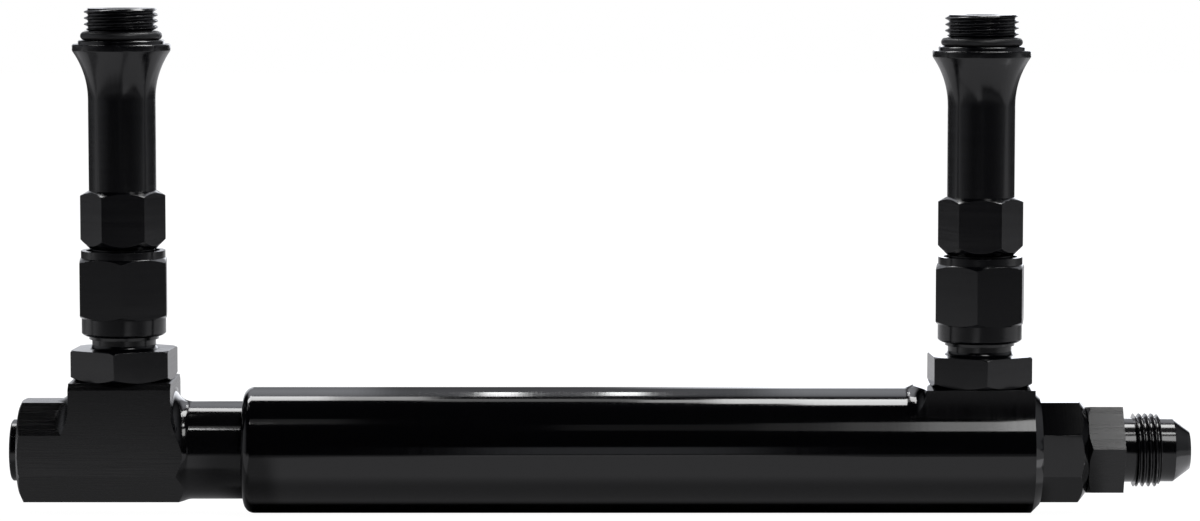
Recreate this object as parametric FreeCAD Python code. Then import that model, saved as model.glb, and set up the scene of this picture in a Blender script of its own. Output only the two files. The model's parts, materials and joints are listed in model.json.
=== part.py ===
"""Adjustable twin-outlet fuel log for a four-barrel carburettor.

A main tube carries the right outlet and the inlet. A tee block with a round slide carries the left
outlet and telescopes in the main tube, so the spacing of the two outlets can be set. Each outlet is
a port fitting, a swivel nut and a tall adapter that screws into the carburettor's fuel bowl.

Millimetres. X runs along the log towards the inlet, Z runs up along the outlets. Every piece is
drawn with the log's axis at Z = 0 and the right outlet's axis at X = 0. At the end all of them are
lowered together, which puts the origin in the middle of the right outlet's thread.
"""
import FreeCAD, Part
import math
import os

# Main tube
LOG_R = 16.4
OUTLET_SPACING = 222.2
TUBE_RIGHT = 15.4
TUBE_RIGHT_CHAMFER = 2.1
MOUTH_ROUND = 2.6
GALLERY_R = 8.0

# Octagon bar, the same size at the inlet end and in the tee block
BAR_FLATS = 26.0
BAR_SIDES = 8
INLET_BAR_LENGTH = 12.2
INLET_FACE_R = 11.0
INLET_CHAMFER_ANGLE = 38.0

# Flat-topped bosses under the two port fittings; the tee block's is taller and has chamfered edges
BOSS_TOP = 17.0
TEE_RISE = 1.65
TEE_TOP_CHAMFER = 1.6
BOSS_HALF_WIDTH = 13.0
MAIN_BOSS_LEFT = 14.7
MAIN_BOSS_RIGHT = 13.3
MAIN_BOSS_FILLET = 5.0

# Tee block and its slide
TEE_HALF = 13.2
ARM_LENGTH = 26.9
ARM_FACE_R = 12.0
ARM_CHAMFER_ANGLE = 26.0
ARM_FILLET = 5.0
SLIDE_R = 12.7
SLIDE_FILLET = 4.4
SLIDE_SHOWN = 17.9
SLIDE_INSERTION = 45.0
SLIDE_CLEARANCE = 0.08
SLIDE_END_CHAMFER = 0.8
SLIDE_BORE_SPARE = 3.0
CLOSING_TRAVEL = 12.0
SLIDE_RING_SECTION = 2.6
SLIDE_RING_PROUD = 0.02
SLIDE_GROOVE_WIDTH = 3.2
SLIDE_GROOVE_FROM_END = 5.0
SLIDE_GROOVE_PITCH = 7.0

# Threads, drawn as plain cylinders at the outside diameter
THREAD_R = 9.525
THREAD_CLEARANCE = 0.025
THREAD_CHAMFER = 0.6
RELIEF_R = 8.3
RELIEF_LENGTH = 2.5

# Straight-thread port with a rubber ring under the fitting's shoulder
STUD_LENGTH = 10.8
PORT_SPARE_DEPTH = 1.5
PORT_RING_SECTION = 2.0
OUTLET_RING_SECTION = 2.2
RING_GAP = 0.02
SEAT_GAP = 0.03

# Male flare end, on the inlet fitting and inside each swivel nut
FLARE_NECK_R = 8.3
FLARE_NECK_LENGTH = 3.3
FLARE_THREAD_LENGTH = 6.5
FLARE_PILOT_R = 8.2
FLARE_PILOT_LENGTH = 3.7
FLARE_ANGLE = 37.0
FLARE_NOSE_LENGTH = 4.3
FLARE_BORE_R = 4.7

# Inlet fitting
INLET_HEX_FLATS = 22.225
INLET_HEX_LENGTH = 9.2
INLET_HEX_FACE_R = 11.4
INLET_HEX_TURN = 7.6

# Port fitting
PORT_HEX_FLATS = 25.4
PORT_HEX_HEIGHT = 8.0
PORT_HEX_LOW_FACE_R = 12.6
PORT_HEX_TOP_FACE_R = 13.9
NECK_R = 8.25
NECK_ROOT_R = 9.1
NECK_ROOT_HEIGHT = 1.2
NECK_ROOT_HOLLOW = 0.3
NECK_HEIGHT = 2.55

# Swivel nut
NUT_HEX_FLATS = 22.225
NUT_CLEARANCE = 0.1
NUT_LIP_R = 9.0
NUT_LIP_HEIGHT = 0.8
NUT_SHOULDER_HEIGHT = 0.8
NUT_SHOULDER_BULGE = 0.35
NUT_COLLAR_R = 10.9
NUT_LOW_COLLAR_HEIGHT = 3.8
NUT_HEX_HEIGHT = 15.7
NUT_TOP_COLLAR_HEIGHT = 1.9
NUT_TO_ADAPTER = 0.4
WIRE_SECTION = 1.5
WIRE_HEIGHT_IN_NUT = 3.6
WIRE_GAP = 0.08
TAIL_SEAT_GAP = 0.05
TAIL_DEPTH_ON_NOSE = 3.7

# Carburettor adapter
ADAPTER_HEX_FLATS = 19.05
ADAPTER_HEX_HEIGHT = 15.1
ADAPTER_HEX_LOW_FACE_R = 8.5
ADAPTER_HEX_TOP_FACE_R = 8.75
ADAPTER_BODY_R = 8.7
ADAPTER_BODY_HEIGHT = 23.7
BELL_HEIGHT = 12.4
BELL_TOP_R = 12.6
FLANGE_R = 12.7
FLANGE_HEIGHT = 1.8
FLANGE_EDGE = 0.25
STEP_R = 11.15
STEP_HEIGHT = 1.0
OUTLET_THREAD_LENGTH = 5.7

# End plug
PLUG_HEAD_R = 8.0
PLUG_HEAD_THICKNESS = 2.3
PLUG_HEAD_EDGE = 0.35
PLUG_THREAD_R = 6.35
PLUG_RELIEF_R = 5.5
PLUG_RELIEF_LENGTH = 2.2
PLUG_STUD_LENGTH = 9.0
PLUG_RING_SECTION = 1.7
PLUG_SOCKET_FLATS = 6.35
PLUG_SOCKET_DEPTH = 6.0

# Edge break on turned edges, and the cone angles of chamfered hexagons
CHAMFER_30 = 30.0
CHAMFER_45 = 45.0
HEX_SIDES = 6
TOOL_LENGTH = 60.0
OVERSHOOT = 1.0

# Direction of a hexagon's first corner when a corner faces the front, and when a flat does
CORNER_FRONT = -90.0
FLAT_FRONT = -60.0

# How each leg's hexagons happened to stop when they were tightened, in degrees about Z
LEG_TURNS = {
    "left": {"port": -4.0, "nut": 5.0, "adapter": 6.7},
    "right": {"port": 2.7, "nut": -8.0, "adapter": -5.5},
}

# Heights and stations that follow from the sizes above
TEE_X = -OUTLET_SPACING
MOUTH_X = TEE_X + TEE_HALF + SLIDE_SHOWN
SLIDE_END_X = MOUTH_X + SLIDE_INSERTION
SLIDE_BORE_R = SLIDE_R + SLIDE_CLEARANCE
SLIDE_BORE_END_X = SLIDE_END_X + CLOSING_TRAVEL + SLIDE_BORE_SPARE
INLET_FACE_X = TUBE_RIGHT + INLET_BAR_LENGTH
ARM_END_X = TEE_X - ARM_LENGTH
TEE_TOP = BOSS_TOP + TEE_RISE
PORT_HEX_TOP = BOSS_TOP + PORT_HEX_HEIGHT
NUT_BOTTOM = PORT_HEX_TOP + NECK_HEIGHT
NUT_HEX_BOTTOM = NUT_BOTTOM + NUT_LIP_HEIGHT + NUT_SHOULDER_HEIGHT + NUT_LOW_COLLAR_HEIGHT
NUT_HEX_TOP = NUT_HEX_BOTTOM + NUT_HEX_HEIGHT
NUT_TOP = NUT_HEX_TOP + NUT_TOP_COLLAR_HEIGHT
ADAPTER_BOTTOM = NUT_TOP + NUT_TO_ADAPTER
ADAPTER_HEX_TOP = ADAPTER_BOTTOM + ADAPTER_HEX_HEIGHT
BELL_BOTTOM = ADAPTER_HEX_TOP + ADAPTER_BODY_HEIGHT
BELL_TOP = BELL_BOTTOM + BELL_HEIGHT
FLANGE_TOP = BELL_TOP + FLANGE_HEIGHT
STEP_TOP = FLANGE_TOP + STEP_HEIGHT
OUTLET_THREAD_BOTTOM = STEP_TOP + RELIEF_LENGTH
OUTLET_TOP = OUTLET_THREAD_BOTTOM + OUTLET_THREAD_LENGTH
OUTLET_THREAD_MIDDLE = (OUTLET_THREAD_BOTTOM + OUTLET_TOP - THREAD_CHAMFER) / 2.0
FLARE_LENGTH = FLARE_NECK_LENGTH + FLARE_THREAD_LENGTH + FLARE_PILOT_LENGTH + FLARE_NOSE_LENGTH
FLARE_SLOPE = math.tan(math.radians(FLARE_ANGLE))
FLARE_TIP_R = FLARE_PILOT_R - FLARE_NOSE_LENGTH * FLARE_SLOPE
NOSE_BOTTOM = ADAPTER_BOTTOM - FLARE_LENGTH
TAIL_TOP = NOSE_BOTTOM + TAIL_DEPTH_ON_NOSE
WIRE_Z = NUT_BOTTOM + WIRE_HEIGHT_IN_NUT
PORT_BORE_R = THREAD_R + THREAD_CLEARANCE
PORT_SEAT_R = RELIEF_R + RING_GAP + PORT_RING_SECTION + SEAT_GAP


def vec(x, y, z):
    """Short name for a point or direction."""
    return FreeCAD.Vector(x, y, z)


def turned(points):
    """Solid of revolution about Z from (radius, height) points; a third value bulges the next edge.

    The third value is the signed sagitta of an arc to the next point, positive to the left of travel.
    """
    edges = []
    for index, point in enumerate(points):
        start = vec(point[0], 0, point[1])
        following = points[(index + 1) % len(points)]
        end = vec(following[0], 0, following[1])
        if start.distanceToPoint(end) < 1e-9:
            continue
        if len(point) == 3:
            chord = end - start
            left = vec(-chord.z, 0, chord.x).normalize()
            middle = (start + end) * 0.5 + left * point[2]
            edges.append(Part.Arc(start, middle, end).toShape())
        else:
            edges.append(Part.makeLine(start, end))
    face = Part.Face(Part.Wire(edges))
    return face.revolve(vec(0, 0, 0), vec(0, 0, 1), 360)


def rod(radius, low, high):
    """Plain cylinder about Z between two heights."""
    return Part.makeCylinder(radius, high - low, vec(0, 0, low), vec(0, 0, 1))


def ring(centre_r, section, height):
    """Rubber or wire ring about Z, of round section."""
    return Part.makeTorus(centre_r, section / 2.0, vec(0, 0, height), vec(0, 0, 1))


def prism(sides, flats, low, high, first_corner):
    """Regular bar about Z; first_corner is the direction of one corner in degrees from +X."""
    corner_r = flats / 2.0 / math.cos(math.pi / sides)
    corners = []
    for index in range(sides):
        angle = math.radians(first_corner) + 2.0 * math.pi * index / sides
        corners.append(vec(corner_r * math.cos(angle), corner_r * math.sin(angle), low))
    outline = Part.makePolygon(corners + corners[:1])
    return Part.Face(outline).extrude(vec(0, 0, high - low))


def chamfered_prism(sides, flats, low, high, first_corner, low_end=None, high_end=None):
    """Bar whose ends are turned to cones; an end is (face radius, cone angle) or None for square."""
    corner_r = flats / 2.0 / math.cos(math.pi / sides)
    outside = corner_r + OVERSHOOT
    blank = [(0.0, low)]
    if low_end:
        rise = (outside - low_end[0]) * math.tan(math.radians(low_end[1]))
        blank.append((low_end[0], low))
        blank.append((outside, low + rise))
    else:
        blank.append((outside, low))
    if high_end:
        rise = (outside - high_end[0]) * math.tan(math.radians(high_end[1]))
        blank.append((outside, high - rise))
        blank.append((high_end[0], high))
    else:
        blank.append((outside, high))
    blank.append((0.0, high))
    return prism(sides, flats, low, high, first_corner).common(turned(blank))


def joined(first, *others):
    """One solid from several, with the seams between coplanar faces removed."""
    return first.fuse(list(others)).removeSplitter()


def laid_along_x(shape):
    """Turns a piece drawn about Z so that its height runs along X."""
    laid = shape.copy()
    laid.rotate(vec(0, 0, 0), vec(0, 1, 0), 90)
    return laid


def moved(shape, x=0.0, y=0.0, z=0.0):
    """Copy of a shape, shifted."""
    copy = shape.copy()
    copy.translate(vec(x, y, z))
    return copy


def port_cutter(face):
    """Tool for a threaded port with a ring seat, about Z, entering downwards from the given height."""
    seat_depth = PORT_RING_SECTION + 2.0 * SEAT_GAP
    lead = PORT_SEAT_R - PORT_BORE_R
    bottom = face - STUD_LENGTH - PORT_SPARE_DEPTH
    tip = bottom - PORT_BORE_R * math.tan(math.radians(CHAMFER_30))
    return turned([
        (0.0, face + TOOL_LENGTH),
        (0.0, tip),
        (PORT_BORE_R, bottom),
        (PORT_BORE_R, face - seat_depth - lead),
        (PORT_SEAT_R, face - seat_depth),
        (PORT_SEAT_R, face + TOOL_LENGTH),
    ])


def threaded_stud(face):
    """Male port end about Z, hanging below the given height: relief for the ring, then the thread."""
    bottom = face - STUD_LENGTH
    return turned([
        (0.0, face),
        (0.0, bottom),
        (THREAD_R - THREAD_CHAMFER, bottom),
        (THREAD_R, bottom + THREAD_CHAMFER),
        (THREAD_R, face - RELIEF_LENGTH),
        (RELIEF_R, face - RELIEF_LENGTH),
        (RELIEF_R, face),
    ])


def port_ring(face):
    """Rubber ring in a port's seat, below the given height."""
    centre_r = RELIEF_R + RING_GAP + PORT_RING_SECTION / 2.0
    return ring(centre_r, PORT_RING_SECTION, face - SEAT_GAP - PORT_RING_SECTION / 2.0)


def flare_end(start):
    """Male flare end about Z, rising from the given height: neck, thread, pilot and cone."""
    thread_low = start + FLARE_NECK_LENGTH
    thread_high = thread_low + FLARE_THREAD_LENGTH
    pilot_high = thread_high + FLARE_PILOT_LENGTH
    tip = pilot_high + FLARE_NOSE_LENGTH
    return turned([
        (0.0, start),
        (FLARE_NECK_R, start),
        (FLARE_NECK_R, thread_low),
        (THREAD_R, thread_low),
        (THREAD_R, thread_high - THREAD_CHAMFER),
        (THREAD_R - THREAD_CHAMFER, thread_high),
        (FLARE_PILOT_R, thread_high),
        (FLARE_PILOT_R, pilot_high),
        (FLARE_TIP_R, tip),
        (0.0, tip),
    ])


def octagon_first_corner():
    """Direction of one octagon corner when a flat faces the front."""
    return 180.0 / BAR_SIDES


def main_body():
    """Main tube with the octagon inlet end, the right outlet's boss and all its bores."""
    chamfer = TUBE_RIGHT_CHAMFER
    round_sagitta = MOUTH_ROUND * (1.0 - math.sqrt(0.5))
    tube = turned([
        (0.0, MOUTH_X),
        (LOG_R - MOUTH_ROUND, MOUTH_X, -round_sagitta),
        (LOG_R, MOUTH_X + MOUTH_ROUND),
        (LOG_R, TUBE_RIGHT - chamfer),
        (LOG_R - chamfer, TUBE_RIGHT),
        (0.0, TUBE_RIGHT),
    ])
    bar = chamfered_prism(
        BAR_SIDES, BAR_FLATS, TUBE_RIGHT - chamfer, INLET_FACE_X, octagon_first_corner(),
        high_end=(INLET_FACE_R, INLET_CHAMFER_ANGLE),
    )
    boss_blank = Part.makeBox(
        MAIN_BOSS_FILLET + MAIN_BOSS_LEFT + MAIN_BOSS_RIGHT, 2.0 * BOSS_HALF_WIDTH, BOSS_TOP,
        vec(-MAIN_BOSS_LEFT - MAIN_BOSS_FILLET, -BOSS_HALF_WIDTH, 0),
    )
    boss = boss_blank.common(shoulder(LOG_R, -MAIN_BOSS_LEFT, MAIN_BOSS_RIGHT, MAIN_BOSS_FILLET, -1))
    body = joined(laid_along_x(tube), laid_along_x(bar), boss)
    slide_bore = laid_along_x(rod(SLIDE_BORE_R, MOUTH_X - OVERSHOOT, SLIDE_BORE_END_X))
    gallery = laid_along_x(rod(GALLERY_R, SLIDE_BORE_END_X - OVERSHOOT, INLET_FACE_X - STUD_LENGTH))
    inlet_port = laid_along_x(port_cutter(INLET_FACE_X))
    outlet_port = port_cutter(BOSS_TOP)
    return body.cut([slide_bore, gallery, inlet_port, outlet_port])


def shoulder(root_r, left, right, fillet, side):
    """Turned collar about X whose fillet sweeps up from a round bar of the given radius.

    The collar runs from left to right; the fillet lies outside its left end when side is -1 and
    outside its right end when side is 1.
    """
    sagitta = fillet * (1.0 - math.sqrt(0.5))
    high_r = root_r + fillet + LOG_R
    if side < 0:
        profile = [
            (0.0, left - fillet),
            (root_r, left - fillet, sagitta),
            (root_r + fillet, left),
            (high_r, left),
            (high_r, right),
            (0.0, right),
        ]
    else:
        profile = [
            (0.0, left),
            (high_r, left),
            (high_r, right),
            (root_r + fillet, right, sagitta),
            (root_r, right + fillet),
            (0.0, right + fillet),
        ]
    return laid_along_x(turned(profile))


def tower_blank():
    """Upright block under the left outlet, its two long top edges chamfered, before it is turned."""
    edge = BOSS_HALF_WIDTH - TEE_TOP_CHAMFER
    low_edge = TEE_TOP - TEE_TOP_CHAMFER
    start = TEE_X - TEE_HALF - ARM_FILLET
    outline = Part.makePolygon([
        vec(start, -BOSS_HALF_WIDTH, 0),
        vec(start, BOSS_HALF_WIDTH, 0),
        vec(start, BOSS_HALF_WIDTH, low_edge),
        vec(start, edge, TEE_TOP),
        vec(start, -edge, TEE_TOP),
        vec(start, -BOSS_HALF_WIDTH, low_edge),
        vec(start, -BOSS_HALF_WIDTH, 0),
    ])
    return Part.Face(outline).extrude(vec(ARM_FILLET + 2.0 * TEE_HALF + SLIDE_FILLET, 0, 0))


def slide_tee():
    """Tee block machined in one piece with the round slide that enters the main tube."""
    wall = TEE_X + TEE_HALF
    bar = laid_along_x(chamfered_prism(
        BAR_SIDES, BAR_FLATS, ARM_END_X, wall + SLIDE_FILLET, octagon_first_corner(),
        low_end=(ARM_FACE_R, ARM_CHAMFER_ANGLE),
    ))
    slide_side = shoulder(SLIDE_R, ARM_END_X, wall, SLIDE_FILLET, 1)
    arm_side = shoulder(BAR_FLATS / 2.0, TEE_X - TEE_HALF, wall + SLIDE_FILLET, ARM_FILLET, -1)
    tower = tower_blank().common(arm_side)
    block = joined(bar, tower).common(slide_side)
    body = joined(block, laid_along_x(slide_blank()))
    gallery = laid_along_x(rod(GALLERY_R, TEE_X - TEE_HALF, SLIDE_END_X + OVERSHOOT))
    outlet_port = moved(port_cutter(TEE_TOP), TEE_X)
    return body.cut([gallery, outlet_port, plug_port_cutter()])


def slide_groove_stations():
    """Middles of the two ring grooves, inner one first."""
    inner = SLIDE_END_X - SLIDE_GROOVE_FROM_END
    return [inner, inner - SLIDE_GROOVE_PITCH]


def slide_groove_floor():
    """Radius at the bottom of a slide ring's groove."""
    return SLIDE_R + SLIDE_RING_PROUD - SLIDE_RING_SECTION - RING_GAP


def slide_blank():
    """Round slide about Z with its two ring grooves and a chamfered inner end."""
    chamfer = SLIDE_END_CHAMFER
    blank = turned([
        (0.0, TEE_X),
        (SLIDE_R, TEE_X),
        (SLIDE_R, SLIDE_END_X - chamfer),
        (SLIDE_R - chamfer, SLIDE_END_X),
        (0.0, SLIDE_END_X),
    ])
    for station in slide_groove_stations():
        low = station - SLIDE_GROOVE_WIDTH / 2.0
        high = station + SLIDE_GROOVE_WIDTH / 2.0
        groove = rod(SLIDE_R + OVERSHOOT, low, high).cut(rod(slide_groove_floor(), low, high))
        blank = blank.cut(groove)
    return blank


def slide_ring(station):
    """Rubber ring that seals the slide in the main tube's bore."""
    centre_r = SLIDE_R + SLIDE_RING_PROUD - SLIDE_RING_SECTION / 2.0
    return laid_along_x(ring(centre_r, SLIDE_RING_SECTION, station))


def plug_seat_r():
    """Radius of the ring seat under the plug's head."""
    return PLUG_RELIEF_R + RING_GAP + PLUG_RING_SECTION + SEAT_GAP


def plug_port_cutter():
    """Tool for the plug's threaded port in the arm's left end."""
    seat_depth = PLUG_RING_SECTION + 2.0 * SEAT_GAP
    bore_r = PLUG_THREAD_R + THREAD_CLEARANCE
    lead = plug_seat_r() - bore_r
    return laid_along_x(turned([
        (0.0, ARM_END_X - OVERSHOOT),
        (plug_seat_r(), ARM_END_X - OVERSHOOT),
        (plug_seat_r(), ARM_END_X + seat_depth),
        (bore_r, ARM_END_X + seat_depth + lead),
        (bore_r, TEE_X - TEE_HALF + OVERSHOOT),
        (0.0, TEE_X - TEE_HALF + OVERSHOOT),
    ]))


def end_plug():
    """Round-headed plug with a hexagon socket, closing the arm's left end."""
    head = ARM_END_X - PLUG_HEAD_THICKNESS
    edge = PLUG_HEAD_EDGE
    stud_end = ARM_END_X + PLUG_STUD_LENGTH
    body = turned([
        (0.0, head),
        (PLUG_HEAD_R - edge, head),
        (PLUG_HEAD_R, head + edge),
        (PLUG_HEAD_R, ARM_END_X),
        (PLUG_RELIEF_R, ARM_END_X),
        (PLUG_RELIEF_R, ARM_END_X + PLUG_RELIEF_LENGTH),
        (PLUG_THREAD_R, ARM_END_X + PLUG_RELIEF_LENGTH),
        (PLUG_THREAD_R, stud_end - THREAD_CHAMFER),
        (PLUG_THREAD_R - THREAD_CHAMFER, stud_end),
        (0.0, stud_end),
    ])
    socket = prism(HEX_SIDES, PLUG_SOCKET_FLATS, head - OVERSHOOT, head + PLUG_SOCKET_DEPTH, 0.0)
    return laid_along_x(body.cut(socket))


def end_plug_ring():
    """Rubber ring under the plug's head."""
    centre_r = PLUG_RELIEF_R + RING_GAP + PLUG_RING_SECTION / 2.0
    return laid_along_x(ring(centre_r, PLUG_RING_SECTION, ARM_END_X + SEAT_GAP + PLUG_RING_SECTION / 2.0))


def inlet_fitting():
    """Union that screws into the inlet port and takes the fuel line on its flare end."""
    hex_end = INLET_FACE_X + INLET_HEX_LENGTH
    hexagon = chamfered_prism(
        HEX_SIDES, INLET_HEX_FLATS, INLET_FACE_X, hex_end, CORNER_FRONT - INLET_HEX_TURN,
        low_end=(INLET_HEX_FACE_R, CHAMFER_30),
    )
    body = joined(hexagon, threaded_stud(INLET_FACE_X), flare_end(hex_end))
    bore = rod(FLARE_BORE_R, INLET_FACE_X - STUD_LENGTH - OVERSHOOT, hex_end + FLARE_LENGTH + OVERSHOOT)
    return laid_along_x(body.cut(bore))


def port_fitting(turn):
    """Fitting in a boss: threaded stud, hexagon, and the tail on which the swivel nut runs."""
    hexagon = chamfered_prism(
        HEX_SIDES, PORT_HEX_FLATS, BOSS_TOP, PORT_HEX_TOP, CORNER_FRONT + turn,
        low_end=(PORT_HEX_LOW_FACE_R, CHAMFER_30),
        high_end=(PORT_HEX_TOP_FACE_R, CHAMFER_30),
    )
    root_sagitta = (NECK_ROOT_R - NECK_R) * NECK_ROOT_HOLLOW
    tail = turned([
        (0.0, PORT_HEX_TOP),
        (NECK_ROOT_R, PORT_HEX_TOP, root_sagitta),
        (NECK_R, PORT_HEX_TOP + NECK_ROOT_HEIGHT),
        (NECK_R, TAIL_TOP),
        (0.0, TAIL_TOP),
    ])
    body = joined(hexagon, threaded_stud(BOSS_TOP), tail)
    bore = rod(FLARE_BORE_R, BOSS_TOP - STUD_LENGTH - OVERSHOOT, TAIL_TOP + OVERSHOOT)
    return body.cut([bore, tail_seat_cutter(), wire_groove_cutter()])


def tail_seat_cutter():
    """Cone in the tail's mouth that the adapter's nose seats in."""
    low_r = FLARE_TIP_R + TAIL_SEAT_GAP
    rise = TAIL_DEPTH_ON_NOSE + OVERSHOOT
    return turned([
        (0.0, NOSE_BOTTOM - TAIL_SEAT_GAP),
        (low_r, NOSE_BOTTOM - TAIL_SEAT_GAP),
        (low_r, NOSE_BOTTOM),
        (low_r + rise * FLARE_SLOPE, NOSE_BOTTOM + rise),
        (0.0, NOSE_BOTTOM + rise),
    ])


def wire_groove_cutter():
    """Round groove shared by the tail and the nut for the retaining wire."""
    return ring(NECK_R + NUT_CLEARANCE / 2.0, WIRE_SECTION + 2.0 * WIRE_GAP, WIRE_Z)


def swivel_wire():
    """Wire ring that keeps the nut on the tail and lets it turn."""
    return ring(NECK_R + NUT_CLEARANCE / 2.0, WIRE_SECTION, WIRE_Z)


def swivel_nut(turn):
    """Nut that runs on the port fitting's tail and draws the adapter down onto its seat."""
    lip_top = NUT_BOTTOM + NUT_LIP_HEIGHT
    shoulder_top = lip_top + NUT_SHOULDER_HEIGHT
    shoulder_sagitta = NUT_SHOULDER_HEIGHT * NUT_SHOULDER_BULGE
    collars = turned([
        (0.0, NUT_BOTTOM),
        (NUT_LIP_R, NUT_BOTTOM),
        (NUT_LIP_R, lip_top, -shoulder_sagitta),
        (NUT_COLLAR_R, shoulder_top),
        (NUT_COLLAR_R, NUT_TOP),
        (0.0, NUT_TOP),
    ])
    cone = (NUT_COLLAR_R, CHAMFER_30)
    hexagon = chamfered_prism(
        HEX_SIDES, NUT_HEX_FLATS, NUT_HEX_BOTTOM, NUT_HEX_TOP, CORNER_FRONT + turn, cone, cone,
    )
    chamber_bottom = NOSE_BOTTOM
    bore = turned([
        (0.0, NUT_BOTTOM - OVERSHOOT),
        (NECK_R + NUT_CLEARANCE, NUT_BOTTOM - OVERSHOOT),
        (NECK_R + NUT_CLEARANCE, chamber_bottom),
        (PORT_BORE_R, chamber_bottom + PORT_BORE_R - NECK_R - NUT_CLEARANCE),
        (PORT_BORE_R, NUT_TOP + OVERSHOOT),
        (0.0, NUT_TOP + OVERSHOOT),
    ])
    return joined(collars, hexagon).cut([bore, wire_groove_cutter()])


def carb_adapter(turn):
    """Tall adapter: flare end in the nut, hexagon, long body, bell flare and the outlet thread."""
    hexagon = chamfered_prism(
        HEX_SIDES, ADAPTER_HEX_FLATS, ADAPTER_BOTTOM, ADAPTER_HEX_TOP, FLAT_FRONT + turn,
        low_end=(ADAPTER_HEX_LOW_FACE_R, CHAMFER_45),
        high_end=(ADAPTER_HEX_TOP_FACE_R, CHAMFER_30),
    )
    edge = FLANGE_EDGE
    upper = turned([
        (0.0, ADAPTER_BOTTOM),
        (ADAPTER_BODY_R - edge, ADAPTER_BOTTOM),
        (ADAPTER_BODY_R - edge, ADAPTER_BOTTOM + edge),
        (ADAPTER_BODY_R, ADAPTER_HEX_TOP),
        (ADAPTER_BODY_R, BELL_BOTTOM, bell_sagitta()),
        (BELL_TOP_R, BELL_TOP),
        (FLANGE_R, BELL_TOP + edge),
        (FLANGE_R, FLANGE_TOP - edge),
        (FLANGE_R - edge, FLANGE_TOP),
        (STEP_R, FLANGE_TOP),
        (STEP_R, STEP_TOP - edge),
        (STEP_R - edge, STEP_TOP),
        (RELIEF_R, STEP_TOP),
        (RELIEF_R, OUTLET_THREAD_BOTTOM),
        (THREAD_R, OUTLET_THREAD_BOTTOM),
        (THREAD_R, OUTLET_TOP - THREAD_CHAMFER),
        (THREAD_R - THREAD_CHAMFER, OUTLET_TOP),
        (0.0, OUTLET_TOP),
    ])
    lower = flare_end(0.0)
    lower.rotate(vec(0, 0, 0), vec(1, 0, 0), 180)
    lower.translate(vec(0, 0, ADAPTER_BOTTOM))
    bore = rod(FLARE_BORE_R, NOSE_BOTTOM - OVERSHOOT, OUTLET_TOP + OVERSHOOT)
    return joined(upper, hexagon, lower).cut(bore)


def bell_sagitta():
    """Sagitta of the bell's concave arc, which leaves the body upright and ends at the flange."""
    spread = BELL_TOP_R - ADAPTER_BODY_R
    radius = (spread * spread + BELL_HEIGHT * BELL_HEIGHT) / (2.0 * spread)
    half_chord = math.hypot(spread, BELL_HEIGHT) / 2.0
    return radius - math.sqrt(radius * radius - half_chord * half_chord)


def outlet_ring():
    """Rubber ring that seals the adapter in the carburettor's fuel bowl."""
    centre_r = RELIEF_R + RING_GAP + OUTLET_RING_SECTION / 2.0
    return ring(centre_r, OUTLET_RING_SECTION, STEP_TOP + RING_GAP + OUTLET_RING_SECTION / 2.0)


def save(name, shape):
    """Writes one piece, lowered so that the origin sits in the right outlet's thread."""
    placed = moved(shape, 0, 0, -OUTLET_THREAD_MIDDLE)
    solids = placed.Solids
    if len(solids) != 1 or not placed.isValid():
        raise ValueError(f"{name} is not one sound solid")
    solids[0].exportStep(os.path.join("parts", name + ".step"))
    print(f"{name:22s} {solids[0].Volume:10.1f} mm3")


def build():
    """Makes every piece of the log, one file each."""
    os.makedirs("parts", exist_ok=True)
    save("main_body", main_body())
    save("slide_tee", slide_tee())
    inner_station, outer_station = slide_groove_stations()
    save("slide_o_ring_inner", slide_ring(inner_station))
    save("slide_o_ring_outer", slide_ring(outer_station))
    save("end_plug", end_plug())
    save("end_plug_o_ring", end_plug_ring())
    save("inlet_fitting", inlet_fitting())
    save("inlet_o_ring", laid_along_x(port_ring(INLET_FACE_X)))
    for side, x, rise in (("right", 0.0, 0.0), ("left", TEE_X, TEE_RISE)):
        turns = LEG_TURNS[side]
        save(side + "_port_fitting", moved(port_fitting(turns["port"]), x, z=rise))
        save(side + "_port_o_ring", moved(port_ring(BOSS_TOP), x, z=rise))
        save(side + "_swivel_nut", moved(swivel_nut(turns["nut"]), x, z=rise))
        save(side + "_swivel_wire", moved(swivel_wire(), x, z=rise))
        save(side + "_carb_adapter", moved(carb_adapter(turns["adapter"]), x, z=rise))
        save(side + "_carb_o_ring", moved(outlet_ring(), x, z=rise))


build()
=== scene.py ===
"""Looks of the adjustable twin-outlet fuel log: finishes, real threads, studio light and camera."""
import bpy
import functools
import json
import math
import numpy as np
from mathutils import Matrix, Vector


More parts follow.
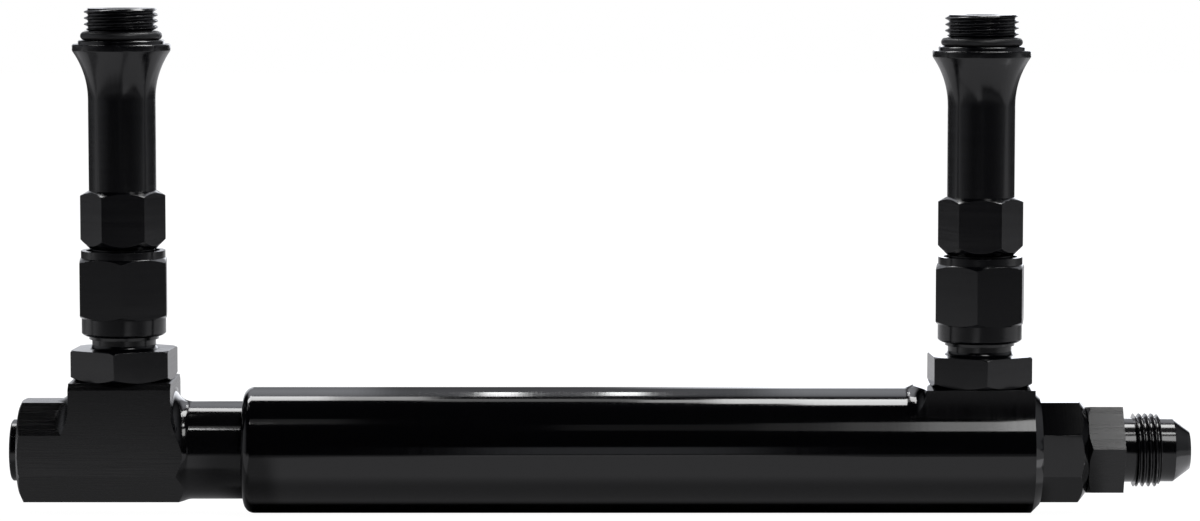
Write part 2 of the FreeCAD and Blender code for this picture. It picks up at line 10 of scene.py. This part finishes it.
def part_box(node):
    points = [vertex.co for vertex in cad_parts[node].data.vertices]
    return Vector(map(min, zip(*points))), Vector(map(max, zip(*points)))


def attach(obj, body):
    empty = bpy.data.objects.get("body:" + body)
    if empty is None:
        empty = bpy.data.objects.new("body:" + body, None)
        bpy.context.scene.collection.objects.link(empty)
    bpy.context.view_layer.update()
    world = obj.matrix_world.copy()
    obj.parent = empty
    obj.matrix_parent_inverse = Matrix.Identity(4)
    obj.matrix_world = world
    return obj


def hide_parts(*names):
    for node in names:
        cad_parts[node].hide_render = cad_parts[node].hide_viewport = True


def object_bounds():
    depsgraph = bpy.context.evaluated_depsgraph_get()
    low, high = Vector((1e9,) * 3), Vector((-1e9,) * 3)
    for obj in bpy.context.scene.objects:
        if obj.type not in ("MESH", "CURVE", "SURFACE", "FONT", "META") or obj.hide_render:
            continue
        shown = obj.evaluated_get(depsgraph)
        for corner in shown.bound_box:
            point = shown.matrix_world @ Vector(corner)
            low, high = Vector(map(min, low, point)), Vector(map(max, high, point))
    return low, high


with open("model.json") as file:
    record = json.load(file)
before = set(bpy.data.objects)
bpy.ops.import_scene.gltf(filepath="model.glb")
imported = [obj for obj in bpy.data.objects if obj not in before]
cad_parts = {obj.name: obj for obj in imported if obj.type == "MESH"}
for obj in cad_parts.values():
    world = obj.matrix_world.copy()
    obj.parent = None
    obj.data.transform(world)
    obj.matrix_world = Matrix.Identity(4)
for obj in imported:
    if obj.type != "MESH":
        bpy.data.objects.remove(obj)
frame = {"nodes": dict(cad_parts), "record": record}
cad_low, cad_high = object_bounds()

MM = 0.001

# Places read from the frame
MOUNTS = {mount["name"]: mount for mount in frame["record"]["mounts"]}
LOG_AXIS_Z = MOUNTS["inlet"]["pos_m"][2]
LEFT_X = MOUNTS["left_outlet"]["pos_m"][0]
THREAD_R = MOUNTS["inlet"]["dims"]["r_mm"] * MM
FLOOR_Z = cad_low.z

# Tee block: half its width along the log, and half its octagon bar's width across flats
BLOCK_HALF = 13.2 * MM
BAR_HALF = 13.0 * MM

# Threads
THREAD_PITCH = 25.4 / 16.0 * MM
THREAD_DEPTH = 0.6134 * THREAD_PITCH
THREAD_CREST_FLAT = 0.16
THREAD_ROOT_FLAT = 0.22
THREAD_STEPS_ROUND = 120
THREAD_STEPS_PER_PITCH = 16
THREAD_CHAMFER = 0.6 * MM
THREAD_FOOT_SLOPE = 1.5
FLARE_NECK = 3.3 * MM

# Small edge breaks on machined edges, and how near two points lie that are welded before them
EDGE_BREAK = 0.2 * MM
EDGE_ANGLE = math.radians(24.0)
EDGE_SEGMENTS = 2
WELD_DISTANCE = 0.002 * MM
NORMAL_WEIGHT = 80

# How far a point may lie from a milled flat, a face across the axis or a thread and still count as on it
FLAT_SLACK = 0.03 * MM
FACE_SLACK = 0.05 * MM
THREAD_SLACK = 0.01 * MM

# Colours of the finishes; a black has its darkest and its lightest tone
TUBE_BLACK = ((0.0012, 0.0012, 0.0016), (0.002, 0.002, 0.0026))
MILLED_BLACK = ((0.0022, 0.0022, 0.0027), (0.0036, 0.0036, 0.0042))
FITTING_BLACK = ((0.0018, 0.0018, 0.0025), (0.003, 0.003, 0.0042))
ADAPTER_BLACK = ((0.002, 0.002, 0.0028), (0.0034, 0.0034, 0.0046))
RUBBER_BLACK = (0.012, 0.012, 0.013)
STEEL = (0.55, 0.54, 0.52)
WHITE = (1.0, 1.0, 1.0, 1.0)

# Noise of the finishes: the range that it mostly keeps to, and the relief that it gives each finish
NOISE_RANGE = (0.3, 0.7)
BRUSHED_HEIGHT = 0.002 * MM
TUBE_HEIGHT = 0.0012 * MM
FITTING_HEIGHT = 0.002 * MM
ADAPTER_HEIGHT = 0.003 * MM
RUBBER_HEIGHT = 0.01 * MM

# Photograph's camera: where it stands, how far it looks down and its focal length in picture widths
CAMERA_TARGET_X = -98.6 * MM
CAMERA_DISTANCE = 1050.0 * MM
CAMERA_HEIGHT = 137.8 * MM
CAMERA_PITCH = math.radians(4.808)
CAMERA_FOCAL_WIDTHS = 4063.5 / 1200.0
CAMERA_NEAR = 0.05
CAMERA_FAR = 20.0
SENSOR_WIDTH_MM = 36.0

# Table: half its size, its paper, and the share and strength of its own white, which bring it to white
TABLE_HALF = 3.0
TABLE_PAPER = 0.8
TABLE_WHITE_SHARE = 0.85
TABLE_WHITE = 1.16
TABLE_TINT = (0.97, 0.97, 1.0)

# Table in reflections, as painted light and shade: to glossy rays the table glows by a painted level, not
# by lamps.
# That level holds the log's painted shadow under it, painted dim patches in front of the tee and at the
# tube's mouth, a painted dark patch in front of the boss and painted pale patches around. A patch is its
# level and its soft sides;
# a side is a coordinate, the place where the patch is nothing and the place where it is full, in metres.
# "away" is the distance from the log's axis, and "along" is where a ray from the camera that meets the
# table has left the log.
RAY_SPREAD = 0.085
TABLE_NEAR = 0.68
TABLE_FAR = 0.09
# Painted fall-off: the table's glow is darker farther from the log
TABLE_FADE = ((0.63, ("away", 0.262, 0.228)), (0.28, ("away", 0.6, 0.42)))
# Painted shadow of the tube and of its two ends on the table
TUBE_SHADE = ((0.34, ("away", 0.0112, 0.0085)), (0.34, ("away", 0.031, 0.018)))
TUBE_REACH = (1.0, ("x", -0.2, -0.188), ("x", 0.02, 0.012))
END_SHADE = ((0.39, ("x", -0.188, -0.2)), (0.39, ("x", 0.012, 0.02)))
END_REACH = (1.0, ("x", 0.034, 0.030), ("away", 0.034, 0.026))
# Painted light: a pale pool on the table under the inlet's nose
NOSE_PAINTED_LIGHT = (1.1, ("x", 0.058, 0.068), ("x", 0.12, 0.11), ("away", 0.026, 0.018))
# Painted light: a pale strip far in front of the tube; painted shade: dim patches in front of the tee and
# at the tube's mouth; painted light: a pale band behind the log
FRONT_STRIP = (0.62, ("x", -0.17, -0.14), ("x", -0.02, -0.05), ("y", -0.23, -0.27), ("y", -0.56, -0.5))
TEE_DIM = (0.45, ("x", -0.17, -0.2), ("y", -0.12, -0.2), ("y", -0.31, -0.295))
MOUTH_DIM = (0.5, ("along", -0.206, -0.196), ("along", -0.179, -0.184), ("y", 0.0, -0.02))
BEHIND = (0.5, ("x", -0.45, -0.36), ("x", 0.28, 0.2), ("y", 0.15, 0.25))
# Painted shade: a dark patch on the table in front of the boss, which the boss's front mirrors as a dark
# band
FRONT_PAINTED_SHADE = (1.0, ("x", -0.03, -0.01), ("y", -0.271, -0.266), ("y", -0.195, -0.202))

# Room in reflections, as patches over the direction, whose coordinates are shares of one
ROOM_TINT = (0.92, 0.94, 1.0)
LEFT_SIDE = (0.46, ("x", -0.55, -0.95))
RIGHT_SIDE = (0.38, ("x", 0.5, 0.93))
RIGHT_REAR = (0.6, ("y", -0.75, 0.25))
RIGHT_FRONT_LEVEL = 0.4
SIDE_TOP = (1.0, ("z", 0.85, 0.4))
WALL_LEVEL = 0.42
WALL_UPPER = (1.15, ("z", 0.25, 0.8))
WALL_TOP = (1.0, ("z", 0.89, 0.80))
WALL_MIDDLE_LEVEL = 0.34
WALL_BESIDE = ((0.66, ("x", -0.049, -0.061)), (0.66, ("x", 0.034, 0.048)))
WINDOWS = ((2.2, ("x", -0.004, 0.05)), (0.7, ("x", -0.09, -0.11)))
WINDOW_TOP = (1.0, ("z", 0.42, 0.25))
BACK_SIDES = (1.0, ("y", 0.35, 0.5), ("x", -0.5, -0.3), ("x", 0.5, 0.3))
CAMERA_SIDE = (0.5, ("x", -0.036, -0.024), ("x", 0.043, 0.033), ("z", 0.24, 0.18), ("z", -0.012, 0.0),
               ("y", -0.8, -0.9))

# Lamps, all at one distance from the log's axis: elevation in degrees, place across from the picture's
# middle, length along X and width in metres, and radiance
LAMP_DISTANCE = 1.0
LAMPS = {
    "bar_right": (104.5, 0.315, 0.43, 0.28, 12.0),
    "bar_right_inner": (106.8, 0.078, 0.044, 0.23, 10.0),
    "bar_right_tip": (107.0, 0.038, 0.036, 0.13, 4.5),
    "bar_middle": (110.0, -0.033, 0.106, 0.14, 1.3),
    "bar_left_tip": (115.5, -0.111, 0.050, 0.20, 4.0),
    "bar_left": (115.8, -0.366, 0.46, 0.22, 9.0),
    "box_left": (130.0, -0.050, 0.018, 0.28, 11.0),
    "box_right": (131.0, 0.012, 0.019, 0.24, 11.0),
    "front_right_box": (50.0, 0.35, 0.30, 0.32, 6.6),
    "front_right_inner": (50.0, 0.179, 0.038, 0.32, 3.4),
    "front_right_tip": (50.0, 0.14, 0.04, 0.30, 1.0),
    "front_right_fade": (49.5, 0.10, 0.04, 0.26, 0.36),
    "front_middle": (48.5, 0.03, 0.10, 0.2, 0.14),
    "inlet_box": (70.0, 0.36, 0.20, 0.12, 12.5),
    "octagon_box": (84.0, 0.31, 0.14, 0.08, 0.3),
    "slide_spot": (57.0, -0.207, 0.018, 0.06, 26.0),
    "slide_inner": (59.5, -0.206, 0.020, 0.15, 2.3),
    "slide_outer": (59.5, -0.192, 0.010, 0.15, 1.0),
    "slide_glow": (60.5, -0.156, 0.06, 0.17, 0.25),
}


def new_material(name, color, roughness, metallic=0.0):
    """Principled material with its plain values on the shader's own sockets."""
    material = bpy.data.materials.new(name)
    material.use_nodes = True
    shader = material.node_tree.nodes["Principled BSDF"]
    shader.inputs["Base Color"].default_value = (*color, 1.0)
    shader.inputs["Roughness"].default_value = roughness
    shader.inputs["Metallic"].default_value = metallic
    return material, material.node_tree, shader


def set_node(tree, kind, **values):
    """Adds a node and sets plain values on its named inputs."""
    node = tree.nodes.new(kind)
    for key, value in values.items():
        node.inputs[key].default_value = value
    return node


def math_node(tree, operation, first, second):
    """Result of one arithmetic step on sockets or numbers."""
    node = tree.nodes.new("ShaderNodeMath")
    node.operation = operation
    for index, value in enumerate((first, second)):
        if isinstance(value, (int, float)):
            node.inputs[index].default_value = value
        else:
            tree.links.new(value, node.inputs[index])
    return node.outputs[0]


def product(tree, *factors):
    """Product of sockets or numbers."""
    return functools.reduce(lambda first, second: math_node(tree, "MULTIPLY", first, second), factors)


def total(tree, *terms):
    """Sum of sockets or numbers."""
    return functools.reduce(lambda first, second: math_node(tree, "ADD", first, second), terms)


def split_place(tree, kind):
    """X, Y and Z of one of the texture coordinates."""
    place = tree.nodes.new("ShaderNodeTexCoord")
    split = tree.nodes.new("ShaderNodeSeparateXYZ")
    tree.links.new(place.outputs[kind], split.inputs["Vector"])
    return [split.outputs[axis] for axis in "XYZ"]


def scaled_noise(tree, scale=1.0, detail=2.0, roughness=0.5, stretch=(1.0, 1.0, 1.0)):
    """Noise over object space, stretched along the axes by the three factors."""
    coordinates = tree.nodes.new("ShaderNodeTexCoord")
    mapping = set_node(tree, "ShaderNodeMapping", Scale=stretch)
    noise = set_node(tree, "ShaderNodeTexNoise", Scale=scale, Detail=detail, Roughness=roughness)
    tree.links.new(coordinates.outputs["Object"], mapping.inputs["Vector"])
    tree.links.new(mapping.outputs["Vector"], noise.inputs["Vector"])
    return noise.outputs["Fac"]


def grain_noise(tree, stretch):
    """Noise drawn out into fine tool marks."""
    return scaled_noise(tree, detail=3.0, roughness=0.6, stretch=stretch)


def ranged(tree, value, low_in, high_in, low_out, high_out):
    """Value mapped from one range to another, smoothly and clamped."""
    node = tree.nodes.new("ShaderNodeMapRange")
    node.interpolation_type = "SMOOTHSTEP"
    node.inputs["From Min"].default_value = low_in
    node.inputs["From Max"].default_value = high_in
    node.inputs["To Min"].default_value = low_out
    node.inputs["To Max"].default_value = high_out
    tree.links.new(value, node.inputs["Value"])
    return node.outputs["Result"]


def bump(tree, shader, height, distance):
    """Feeds a height into the shader's normal."""
    node = set_node(tree, "ShaderNodeBump", Distance=distance)
    tree.links.new(height, node.inputs["Height"])
    tree.links.new(node.outputs["Normal"], shader.inputs["Normal"])


def mottle(tree, shader, blacks):
    """Base colour that wanders faintly between the two tones of a black."""
    node = tree.nodes.new("ShaderNodeMix")
    node.data_type = "RGBA"
    node.inputs["A"].default_value = (*blacks[0], 1.0)
    node.inputs["B"].default_value = (*blacks[1], 1.0)
    noise = scaled_noise(tree, scale=60.0, detail=4.0, roughness=0.55)
    tree.links.new(noise, node.inputs["Factor"])
    tree.links.new(node.outputs["Result"], shader.inputs["Base Color"])


def milled_part(tree):
    """One on the tee block's milled faces, nothing on the slide and its fillet, which are turned."""
    x, y, z = split_place(tree, "Object")
    across = math_node(tree, "ABSOLUTE", y, 0.0)
    up = math_node(tree, "ABSOLUTE", math_node(tree, "SUBTRACT", z, LOG_AXIS_Z), 0.0)
    slanted = product(tree, total(tree, across, up), math.sqrt(0.5))
    octagon = math_node(tree, "MAXIMUM", math_node(tree, "MAXIMUM", across, up), slanted)
    off_flat = math_node(tree, "ABSOLUTE", math_node(tree, "SUBTRACT", octagon, BAR_HALF), 0.0)
    on_flat = math_node(tree, "LESS_THAN", off_flat, FLAT_SLACK)
    on_block = math_node(tree, "LESS_THAN", x, LEFT_X + BLOCK_HALF + FACE_SLACK)
    return math_node(tree, "MAXIMUM", on_flat, on_block)


def inlet_hexagon(tree):
    """One on the inlet fitting's hexagon, nothing on its turned flare end."""
    x = split_place(tree, "Object")[0]
    hexagon_end = thread_span("inlet", True)[0] - FLARE_NECK
    return math_node(tree, "LESS_THAN", x, hexagon_end + FACE_SLACK)


def brushed(name, where, gloss, rise, grain_stretch):
    """Black anodised aluminium, glossy but where a mask says that it is brushed."""
    material, tree, shader = new_material(name, MILLED_BLACK[0], gloss)
    mottle(tree, shader, MILLED_BLACK)
    mask = where(tree)
    grain = grain_noise(tree, grain_stretch)
    rough = product(tree, mask, ranged(tree, grain, *NOISE_RANGE, *rise))
    tree.links.new(total(tree, rough, gloss), shader.inputs["Roughness"])
    bump(tree, shader, product(tree, mask, grain), BRUSHED_HEIGHT)
    return material


def anodised(name, blacks, roughness, grain_stretch, grain_height):
    """Black anodised aluminium: fine tool marks, a faint mottle and roughness that follows it."""
    material, tree, shader = new_material(name, blacks[0], roughness[0])
    mottle(tree, shader, blacks)
    grain = grain_noise(tree, grain_stretch)
    tree.links.new(ranged(tree, grain, *NOISE_RANGE, *roughness), shader.inputs["Roughness"])
    bump(tree, shader, grain, grain_height)
    return material


def rubber():
    """Black nitrile rubber with a dusty sheen."""
    material, tree, shader = new_material("rubber", RUBBER_BLACK, roughness=0.45)
    speckle = scaled_noise(tree, scale=2500.0)
    tree.links.new(ranged(tree, speckle, *NOISE_RANGE, 0.36, 0.52), shader.inputs["Roughness"])
    bump(tree, shader, speckle, RUBBER_HEIGHT)
    return material


def spring_wire():
    """Bright drawn steel wire."""
    material, tree, shader = new_material("spring_wire", STEEL, roughness=0.25, metallic=1.0)
    drawn = scaled_noise(tree, scale=900.0, stretch=(1.0, 1.0, 6.0))
    tree.links.new(ranged(tree, drawn, *NOISE_RANGE, 0.2, 0.36), shader.inputs["Roughness"])
    return material


def make_materials():
    """One material for each finish on the object."""
    return {
        "tube": anodised("anodised_tube", TUBE_BLACK, roughness=(0.06, 0.09),
                         grain_stretch=(2200.0, 30.0, 30.0), grain_height=TUBE_HEIGHT),
        "tee": brushed("anodised_tee", milled_part, gloss=0.10, rise=(0.11, 0.20),
                       grain_stretch=(60.0, 2600.0, 2600.0)),
        "fitting": anodised("anodised_fitting", FITTING_BLACK, roughness=(0.14, 0.20),
                            grain_stretch=(30.0, 30.0, 2400.0), grain_height=FITTING_HEIGHT),
        "adapter": anodised("anodised_adapter", ADAPTER_BLACK, roughness=(0.15, 0.22),
                            grain_stretch=(40.0, 40.0, 2400.0), grain_height=ADAPTER_HEIGHT),
        "inlet": brushed("anodised_inlet", inlet_hexagon, gloss=0.13, rise=(0.08, 0.16),
                         grain_stretch=(40.0, 2400.0, 40.0)),
        "rubber": rubber(),
        "wire": spring_wire(),
    }


def finish_of(node):
    """Name of the finish that a CAD node has."""
    if "o_ring" in node:
        return "rubber"
    if "wire" in node:
        return "wire"
    named = {"main_body": "tube", "slide_tee": "tee", "end_plug": "fitting", "inlet_fitting": "inlet"}
    if node in named:
        return named[node]
    return "adapter" if "adapter" in node else "fitting"


def paint(piece, material):
    """Gives a piece one material in every slot."""
    if not piece.material_slots:
        piece.data.materials.append(material)
    for slot in piece.material_slots:
        slot.material = material


def break_edges(piece):
    """Rounds a machined piece's sharp edges by a hair and shades it smoothly, by modifiers alone."""
    weld = piece.modifiers.new("weld", "WELD")
    weld.merge_threshold = WELD_DISTANCE
    edges = piece.modifiers.new("edge_break", "BEVEL")
    edges.width = EDGE_BREAK
    edges.segments = EDGE_SEGMENTS
    edges.limit_method = "ANGLE"
    edges.angle_limit = EDGE_ANGLE
    normals = piece.modifiers.new("normals", "WEIGHTED_NORMAL")
    normals.keep_sharp = True
    normals.weight = NORMAL_WEIGHT


def smooth_shading():
    """Node group that shades all of a mesh smoothly."""
    group = bpy.data.node_groups.new("smooth_shading", "GeometryNodeTree")
    group.interface.new_socket("Geometry", in_out="INPUT", socket_type="NodeSocketGeometry")
    group.interface.new_socket("Geometry", in_out="OUTPUT", socket_type="NodeSocketGeometry")
    start = group.nodes.new("NodeGroupInput")
    shade = group.nodes.new("GeometryNodeSetShadeSmooth")
    end = group.nodes.new("NodeGroupOutput")
    group.links.new(start.outputs[0], shade.inputs["Geometry"])
    group.links.new(shade.outputs["Geometry"], end.inputs[0])
    return group


def smooth(piece, group):
    """Shades every face of a piece smoothly, by a modifier."""
    piece.modifiers.new("smooth", "NODES").node_group = group


def thread_depth(turns):
    """Depth of a 60 degree thread at a height in pitches, as a share of its whole depth."""
    phase = turns % 1.0
    wave = abs(phase - 0.5) * 2.0
    flank = (wave - THREAD_CREST_FLAT) / (1.0 - THREAD_CREST_FLAT - THREAD_ROOT_FLAT)
    return min(1.0, max(0.0, flank))


def thread_skin(start, length):
    """Threaded sleeve about Z from a height, as rings of points; its radius follows a helix."""
    rows = round(length / THREAD_PITCH * THREAD_STEPS_PER_PITCH)
    points = []
    for row in range(rows + 1):
        height = length * row / rows
        for step in range(THREAD_STEPS_ROUND):
            angle = 2.0 * math.pi * step / THREAD_STEPS_ROUND
            turns = height / THREAD_PITCH - step / THREAD_STEPS_ROUND
            radius = THREAD_R - THREAD_DEPTH * thread_depth(turns)
            limit = THREAD_R - max(0.0, height - (length - THREAD_CHAMFER))
            foot = THREAD_R - THREAD_DEPTH + height * THREAD_FOOT_SLOPE
            radius = min(radius, limit, foot)
            points.append((radius * math.cos(angle), radius * math.sin(angle), start + height))
    return rows, points


def skin_faces(first, rows):
    """Faces between the rings of a threaded sleeve, whose points are numbered from the first."""
    count = THREAD_STEPS_ROUND
    faces = []
    for row in range(rows):
        for step in range(count):
            a = first + row * count + step
            b = first + row * count + (step + 1) % count
            faces.append((a, b, b + count, a + count))
    return faces


def without_thread(mesh, thread_low, thread_high):
    """Points and faces of a mesh that stands on Z, but for those of its plain thread cylinder."""
    vertices = np.empty(len(mesh.vertices) * 3, np.float32)
    mesh.vertices.foreach_get("co", vertices)
    vertices = vertices.reshape(-1, 3)
    radius = np.hypot(vertices[:, 0], vertices[:, 1])
    on_thread = (radius > THREAD_R - THREAD_CHAMFER - THREAD_SLACK) & (radius < THREAD_R + THREAD_SLACK)
    on_thread &= vertices[:, 2] > thread_low - THREAD_SLACK
    on_thread &= vertices[:, 2] < thread_high + THREAD_SLACK
    kept = [p for p in mesh.polygons if not all(on_thread[i] for i in p.vertices)]
    used = sorted({i for p in kept for i in p.vertices})
    renumber = {old: new for new, old in enumerate(used)}
    points = [tuple(vertices[i]) for i in used]
    faces = [tuple(renumber[i] for i in p.vertices) for p in kept]
    return points, faces


def threaded_copy(node, along_x, thread_low, thread_high):
    """Copy of a CAD node whose plain thread cylinder is exchanged for a real helical thread.

    thread_low and thread_high are stations along the piece's axis, in metres; the chamfer lies at
    the high end. A piece along X is turned to stand on Z for the work and turned back.
    """
    low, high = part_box(node)
    if along_x:
        to_z = Matrix.Rotation(-math.pi / 2.0, 4, "Y") @ Matrix.Translation((0, 0, -LOG_AXIS_Z))
    else:
        to_z = Matrix.Translation((-(low.x + high.x) / 2.0, -(low.y + high.y) / 2.0, 0.0))
    mesh = frame["nodes"][node].data.copy()
    mesh.transform(to_z)
    points, faces = without_thread(mesh, thread_low, thread_high)
    bpy.data.meshes.remove(mesh)
    rows, skin = thread_skin(thread_low, thread_high - thread_low)
    made = bpy.data.meshes.new(node + "_threaded")
    made.from_pydata(points + skin, [], faces + skin_faces(len(points), rows))
    made.transform(to_z.inverted())
    made.validate()
    piece = bpy.data.objects.new(made.name, made)
    bpy.context.scene.collection.objects.link(piece)
    return piece


def thread_span(name, along_x):
    """Low and high station of a mount's thread; its chamfer is left out of the mount's length."""
    mount = MOUNTS[name]
    centre = mount["pos_m"][0] if along_x else mount["pos_m"][2]
    half = mount["dims"]["length_mm"] * MM / 2.0
    return centre - half, centre + half + THREAD_CHAMFER


def dress(materials):
    """Finishes every CAD node, and stands threaded copies in for the three with outside threads."""
    threaded = {
        "right_carb_adapter": ("right_outlet", False, "log"),
        "left_carb_adapter": ("left_outlet", False, "tee"),
        "inlet_fitting": ("inlet", True, "log"),
    }
    shading = smooth_shading()
    for node, piece in frame["nodes"].items():
        material = materials[finish_of(node)]
        paint(piece, material)
        if node in threaded:
            mount, along_x, body = threaded[node]
            low, high = thread_span(mount, along_x)
            copy = threaded_copy(node, along_x, low, high)
            paint(copy, material)
            smooth(copy, shading)
            break_edges(copy)
            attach(copy, body)
            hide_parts(node)
        else:
            smooth(piece, shading)
            if "o_ring" not in node and "wire" not in node:
                break_edges(piece)


def edge_values(nothing, full):
    """Range in and out of a soft side that is nothing at one place and full at the other."""
    return (nothing, full, 0.0, 1.0) if nothing < full else (full, nothing, 1.0, 0.0)


def patch(tree, places, level, *sides):
    """Level inside soft sides, and nothing outside them."""
    edges = [ranged(tree, places[axis], *edge_values(nothing, full)) for axis, nothing, full in sides]
    return product(tree, level, *edges)


def patches(tree, places, rows):
    """Sum of several patches."""
    return total(tree, *(patch(tree, places, *row) for row in rows))


def room_level(tree):
    """Brightness of the room by direction: dark above, with paler sides and two pale walls behind."""
    places = dict(zip("xyz", split_place(tree, "Generated")))
    left = patch(tree, places, *LEFT_SIDE)
    right = product(tree, patch(tree, places, *RIGHT_SIDE),
                    total(tree, patch(tree, places, *RIGHT_REAR), RIGHT_FRONT_LEVEL))
    sides = product(tree, total(tree, left, right), patch(tree, places, *SIDE_TOP))
    wall = product(tree, total(tree, patch(tree, places, *WALL_UPPER), WALL_LEVEL),
                   patch(tree, places, *WALL_TOP),
                   total(tree, patches(tree, places, WALL_BESIDE), WALL_MIDDLE_LEVEL))
    window = product(tree, patches(tree, places, WINDOWS), patch(tree, places, *WINDOW_TOP))
    back = product(tree, total(tree, wall, window), patch(tree, places, *BACK_SIDES))
    return total(tree, back, sides, patch(tree, places, *CAMERA_SIDE))


def make_world():
    """Room that is white to the camera, and that the log mirrors by its level."""
    world = bpy.data.worlds.new("room")
    bpy.context.scene.world = world
    world.use_nodes = True
    tree = world.node_tree
    tree.nodes.clear()
    room = set_node(tree, "ShaderNodeBackground", Color=(*ROOM_TINT, 1.0))
    tree.links.new(room_level(tree), room.inputs["Strength"])
    white = set_node(tree, "ShaderNodeBackground", Color=WHITE, Strength=1.0)
    path = tree.nodes.new("ShaderNodeLightPath")
    mix = tree.nodes.new("ShaderNodeMixShader")
    tree.links.new(path.outputs["Is Camera Ray"], mix.inputs["Fac"])
    tree.links.new(room.outputs["Background"], mix.inputs[1])
    tree.links.new(white.outputs["Background"], mix.inputs[2])
    output = tree.nodes.new("ShaderNodeOutputWorld")
    tree.links.new(mix.outputs["Shader"], output.inputs["Surface"])


def painted_table_shading(tree):
    """Painted light and shade of the table as the log mirrors it: painted shadow under the log, pale
    around it, darker farther away, with painted dark and pale patches.
    """
    x, y, _ = split_place(tree, "Object")
    away = math_node(tree, "ABSOLUTE", y, 0.0)
    along = math_node(tree, "SUBTRACT", x, product(tree, y, RAY_SPREAD))
    places = {"x": x, "y": y, "away": away, "along": along}
    shade = product(tree, patches(tree, places, TUBE_SHADE), patch(tree, places, *TUBE_REACH))
    ends = product(tree, patches(tree, places, END_SHADE), patch(tree, places, *END_REACH))
    near = math_node(tree, "SUBTRACT", TABLE_NEAR, total(tree, shade, ends))
    near = total(tree, near, patch(tree, places, *NOSE_PAINTED_LIGHT))
    lit = product(tree, near, total(tree, patches(tree, places, TABLE_FADE), TABLE_FAR))
    lit = total(tree, lit, patch(tree, places, *FRONT_STRIP))
    for row in (TEE_DIM, MOUTH_DIM):
        lit = product(tree, lit, math_node(tree, "SUBTRACT", 1.0, patch(tree, places, *row)))
    lit = total(tree, lit, patch(tree, places, *BEHIND))
    return product(tree, lit, math_node(tree, "SUBTRACT", 1.0, patch(tree, places, *FRONT_PAINTED_SHADE)))


def make_floor():
    """Pale table under the log: white to the camera but for the log's soft shadow."""
    mesh = bpy.data.meshes.new("table")
    signs = ((-1, -1), (1, -1), (1, 1), (-1, 1))
    mesh.from_pydata([(TABLE_HALF * i, TABLE_HALF * j, FLOOR_Z) for i, j in signs], [], [(0, 1, 2, 3)])
    table = bpy.data.objects.new("table", mesh)
    bpy.context.scene.collection.objects.link(table)
    material = bpy.data.materials.new("table")
    material.use_nodes = True
    tree = material.node_tree
    tree.nodes.clear()
    paper = set_node(tree, "ShaderNodeBsdfDiffuse", Color=(*[TABLE_PAPER] * 3, 1.0))
    white = set_node(tree, "ShaderNodeEmission", Color=WHITE, Strength=TABLE_WHITE)
    # The table's glow to glossy rays, with painted shadow and painted light, not lit by the lamps
    mirrored = set_node(tree, "ShaderNodeEmission", Color=(*TABLE_TINT, 1.0))
    tree.links.new(painted_table_shading(tree), mirrored.inputs["Strength"])
    path = tree.nodes.new("ShaderNodeLightPath")
    seen = tree.nodes.new("ShaderNodeMixShader")
    tree.links.new(product(tree, path.outputs["Is Camera Ray"], TABLE_WHITE_SHARE), seen.inputs["Fac"])
    tree.links.new(paper.outputs["BSDF"], seen.inputs[1])
    tree.links.new(white.outputs["Emission"], seen.inputs[2])
    mix = tree.nodes.new("ShaderNodeMixShader")
    glossy = math_node(tree, "MAXIMUM", path.outputs["Is Glossy Ray"], path.outputs["Is Transmission Ray"])
    tree.links.new(glossy, mix.inputs["Fac"])
    tree.links.new(seen.outputs["Shader"], mix.inputs[1])
    tree.links.new(mirrored.outputs["Emission"], mix.inputs[2])
    output = tree.nodes.new("ShaderNodeOutputMaterial")
    tree.links.new(mix.outputs["Shader"], output.inputs["Surface"])
    mesh.materials.append(material)


def area_light(name, elevation, across, length, width, radiance):
    """Soft box along X that the log mirrors at an elevation, facing the log.

    Elevation runs from 0 at the front horizon over 90 overhead to 180 at the back horizon. The power is
    worked out from the wanted radiance, so that a box keeps its brightness when its size changes.
    """
    lamp = bpy.data.lights.new(name, "AREA")
    lamp.shape = "RECTANGLE"
    lamp.size = length
    lamp.size_y = width
    lamp.energy = radiance * length * width * math.pi
    tilt = math.radians(elevation)
    out = Vector((0.0, -math.cos(tilt), math.sin(tilt)))
    piece = bpy.data.objects.new(name, lamp)
    piece.location = Vector((CAMERA_TARGET_X + across, 0.0, LOG_AXIS_Z)) + out * LAMP_DISTANCE
    piece.rotation_euler = (math.pi / 2.0 - tilt, 0.0, 0.0)
    bpy.context.scene.collection.objects.link(piece)


def make_lights():
    """Overhead bars, two bright boxes behind them and smaller boxes in front, as the log mirrors them."""
    for name, row in LAMPS.items():
        area_light(name, *row)


def make_camera():
    """Camera at the photograph's place, level along X, as it was fitted to the photograph."""
    data = bpy.data.cameras.new("camera")
    data.sensor_width = SENSOR_WIDTH_MM
    data.lens = CAMERA_FOCAL_WIDTHS * SENSOR_WIDTH_MM
    data.clip_start = CAMERA_NEAR
    data.clip_end = CAMERA_FAR
    camera = bpy.data.objects.new("camera", data)
    bpy.context.scene.collection.objects.link(camera)
    camera.location = (CAMERA_TARGET_X, -CAMERA_DISTANCE, LOG_AXIS_Z + CAMERA_HEIGHT)
    camera.rotation_euler = (math.pi / 2.0 - CAMERA_PITCH, 0.0, 0.0)
    bpy.context.scene.camera = camera


make_camera()
dress(make_materials())
make_floor()
make_world()
make_lights()
bpy.context.scene.view_settings.view_transform = "Standard"
